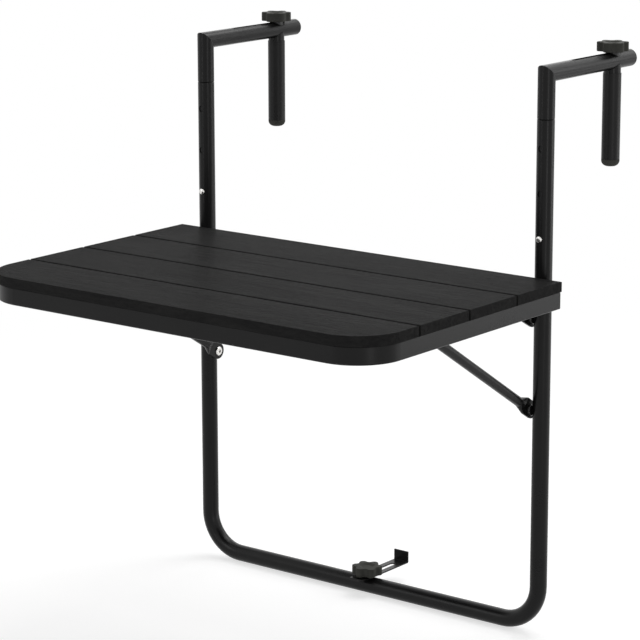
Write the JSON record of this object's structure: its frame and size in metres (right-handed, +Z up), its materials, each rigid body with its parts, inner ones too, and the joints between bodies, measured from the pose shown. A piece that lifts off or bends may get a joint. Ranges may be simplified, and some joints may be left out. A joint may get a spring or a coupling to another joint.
{
  "type": "balcony railing bar table",
  "caption": "Folding slatted table that hangs on a balcony rail by two adjustable hooks, with a bent tube frame, hinged braces and a wall bracket.",
  "frame": {"origin": "midway between the two posts, in the plane of their axes, at the level of the hooks' underside, which rests on the balcony rail", "axes": "+X along the rail, to the right of the person at the table; +Y from that person out over the railing; +Z up"},
  "size_m": [0.7, 0.6835, 0.8465],
  "materials": {
    "black_steel": "satin black powder coat",
    "board": "black board with a fine embossed wood grain along its length",
    "knob_plastic": "dark grey moulded plastic",
    "soft_plastic": "black plastic sleeves and plugs",
    "plated_steel": "bright plated steel",
    "zinc_steel": "zinc plated steel",
    "washer_plastic": "black nylon"
  },
  "bodies": {
    "frame": {"u_frame": "black_steel", "bar_nut": "zinc_steel", "hinge_bolts": "plated_steel", "brace_bolts": "plated_steel", "pivot_nuts": "black_steel", "pivot_spacers": "zinc_steel"},
    "table": {"slat_1": "board", "slat_2": "board", "slat_3": "board", "slat_4": "board", "rim_tube": "black_steel", "rear_rail": "black_steel", "cross_rails": "black_steel", "slat_screws": "zinc_steel", "rim_end_cap_left": "soft_plastic", "hinge_ear_left": "black_steel", "guide_rail_left": "black_steel", "rim_end_cap_right": "soft_plastic", "hinge_ear_right": "black_steel", "guide_rail_right": "black_steel"},
    "brace_left": {"brace_left": "black_steel", "brace_pin_left": "plated_steel"},
    "brace_right": {"brace_right": "black_steel", "brace_pin_right": "plated_steel"},
    "hook_left": {"hook_left": "black_steel", "hook_inner_left": "black_steel", "arm_plug_left": "soft_plastic", "button_spring_left": "zinc_steel"},
    "button_left": {"snap_button_left": "plated_steel"},
    "drop_left": {"drop_tube_left": "black_steel", "drop_sleeve_left": "soft_plastic", "drop_cap_left": "knob_plastic", "drop_nut_left": "zinc_steel", "clamp_washer_left": "washer_plastic"},
    "knob_left": {"clamp_knob_left": "knob_plastic", "clamp_stud_left": "zinc_steel"},
    "hook_right": {"hook_right": "black_steel", "hook_inner_right": "black_steel", "arm_plug_right": "soft_plastic", "button_spring_right": "zinc_steel"},
    "button_right": {"snap_button_right": "plated_steel"},
    "drop_right": {"drop_tube_right": "black_steel", "drop_sleeve_right": "soft_plastic", "drop_cap_right": "knob_plastic", "drop_nut_right": "zinc_steel", "clamp_washer_right": "washer_plastic"},
    "knob_right": {"clamp_knob_right": "knob_plastic", "clamp_stud_right": "zinc_steel"},
    "bracket": {"wall_bracket": "black_steel"},
    "bracket_knob": {"bracket_knob": "knob_plastic", "bracket_stud": "zinc_steel", "bracket_washer": "washer_plastic"}
  },
  "joints": [
    {"name": "table_fold", "type": "hinge", "parent": "frame", "child": "table", "pos_m": [0, 0, -0.3383], "axis": [1, 0, 0], "range_deg": [0, 90]},
    {"name": "brace_fold_left", "type": "hinge", "parent": "frame", "child": "brace_left", "pos_m": [-0.2937, 0, -0.4725], "axis": [1, 0, 0], "range_deg": [0, 117.7]},
    {"name": "brace_fold_right", "type": "hinge", "parent": "frame", "child": "brace_right", "pos_m": [0.2937, 0, -0.4725], "axis": [1, 0, 0], "range_deg": [0, 117.7]},
    {"name": "height_left", "type": "slide", "parent": "frame", "child": "hook_left", "axis": [0, 0, 1], "range_m": [0, 0.128], "deforming": ["button_spring_left", "snap_button_left"]},
    {"name": "button_press_left", "type": "slide", "parent": "hook_left", "child": "button_left", "axis": [0, 1, 0], "range_m": [0, 0.0045], "stiffness_N_per_m": 1500, "deforming": ["button_spring_left"]},
    {"name": "hook_width_left", "type": "slide", "parent": "hook_left", "child": "drop_left", "axis": [0, 1, 0], "range_m": [-0.107, 0]},
    {"name": "clamp_turn_left", "type": "hinge", "parent": "drop_left", "child": "knob_left", "pos_m": [-0.31, 0.172, 0.0264], "axis": [0, 0, 1], "range_deg": [0, 720]},
    {"name": "height_right", "type": "slide", "parent": "frame", "child": "hook_right", "axis": [0, 0, 1], "range_m": [0, 0.128], "deforming": ["button_spring_right", "snap_button_right"]},
    {"name": "button_press_right", "type": "slide", "parent": "hook_right", "child": "button_right", "axis": [0, 1, 0], "range_m": [0, 0.0045], "stiffness_N_per_m": 1500, "deforming": ["button_spring_right"]},
    {"name": "hook_width_right", "type": "slide", "parent": "hook_right", "child": "drop_right", "axis": [0, 1, 0], "range_m": [-0.107, 0]},
    {"name": "clamp_turn_right", "type": "hinge", "parent": "drop_right", "child": "knob_right", "pos_m": [0.31, 0.172, 0.0264], "axis": [0, 0, 1], "range_deg": [0, 720]},
    {"name": "bracket_reach", "type": "slide", "parent": "frame", "child": "bracket", "axis": [0, 1, 0], "range_m": [-0.063, 0]},
    {"name": "bracket_knob_turn", "type": "hinge", "parent": "frame", "child": "bracket_knob", "pos_m": [0, 0, -0.7781], "axis": [0, 0, 1], "range_deg": [0, 720]}
  ],
  "couplings": [
    {"joint": "brace_fold_left", "follows": "table_fold", "ratio": 1.3067},
    {"joint": "brace_fold_right", "follows": "table_fold", "ratio": 1.3067}
  ]
}
